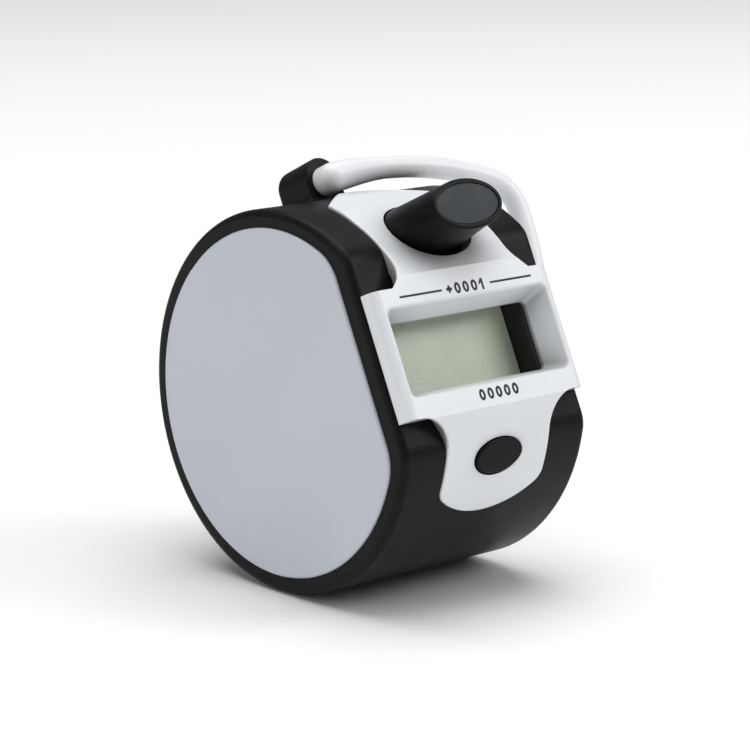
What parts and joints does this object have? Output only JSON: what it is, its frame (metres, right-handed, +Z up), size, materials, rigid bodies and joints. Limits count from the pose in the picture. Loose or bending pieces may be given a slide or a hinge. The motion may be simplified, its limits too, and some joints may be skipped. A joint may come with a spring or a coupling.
{
  "type": "hand tally counter",
  "caption": "Round hand-held electronic tally counter: drum body, white panel with framed display, tall count button, small reset button and swinging finger loop.",
  "frame": {"origin": "centre of the left side plate's outer face, on the drum's axis", "axes": "+X along the drum's axis towards its right end, -Y towards the person who reads the display, +Z up; the display leans back 25.5 degrees"},
  "size_m": [0.0409, 0.0424, 0.0458],
  "materials": {
    "shell_black": "black plastic, satin gloss",
    "panel_white": "white plastic, smooth gloss",
    "plate_grey": "pale blue-grey plastic, satin",
    "button_black": "black plastic, satin",
    "loop_white": "white plastic, gloss",
    "lcd_face": "blank grey-green display film, semi-gloss",
    "lcd_glass": "display glass",
    "holder_black": "dark plastic, matte",
    "rubber_grey": "conductive rubber, matte",
    "board_green": "green solder mask",
    "epoxy_black": "black epoxy",
    "part_tan": "ceramic, matte",
    "steel": "zinc-plated steel",
    "spring_steel": "spring steel, bright",
    "contact_metal": "gold-washed contact metal"
  },
  "bodies": {
    "counter_body": {"left_shell": "shell_black", "right_shell": "shell_black", "left_side_plate": "plate_grey", "right_side_plate": "plate_grey", "front_panel": "panel_white", "lcd_holder": "holder_black", "lcd_film": "lcd_face", "lcd_glass": "lcd_glass", "lcd_reflector": "steel", "contact_strip": "rubber_grey", "circuit_board": "board_green", "chip_cover": "epoxy_black", "clock_crystal": "steel", "capacitor": "part_tan", "count_contact": "contact_metal", "count_spring": "spring_steel", "reset_contact": "contact_metal", "reset_spring": "spring_steel", "button_cell": "steel", "positive_contact": "contact_metal", "negative_contact": "contact_metal", "shell_screws": "steel", "board_screws": "steel"},
    "count_button": {"count_button": "button_black"},
    "reset_button": {"reset_button": "button_black"},
    "finger_loop": {"finger_loop": "loop_white"}
  },
  "joints": [
    {"name": "count_press", "type": "slide", "parent": "counter_body", "child": "count_button", "axis": [0, 0.9026, -0.4305], "range_m": [0, 0.0012], "stiffness_N_per_m": 400, "springref_m": -0.001, "deforming": ["count_spring"]},
    {"name": "reset_press", "type": "slide", "parent": "counter_body", "child": "reset_button", "axis": [0, 0.9026, -0.4305], "range_m": [0, 0.0008], "stiffness_N_per_m": 400, "springref_m": -0.001, "deforming": ["reset_spring"]},
    {"name": "loop_swing", "type": "hinge", "parent": "counter_body", "child": "finger_loop", "pos_m": [0.0136, 0.00589, 0.02256], "axis": [0, -0.9026, 0.4305], "range_deg": [-3, 183]}
  ]
}
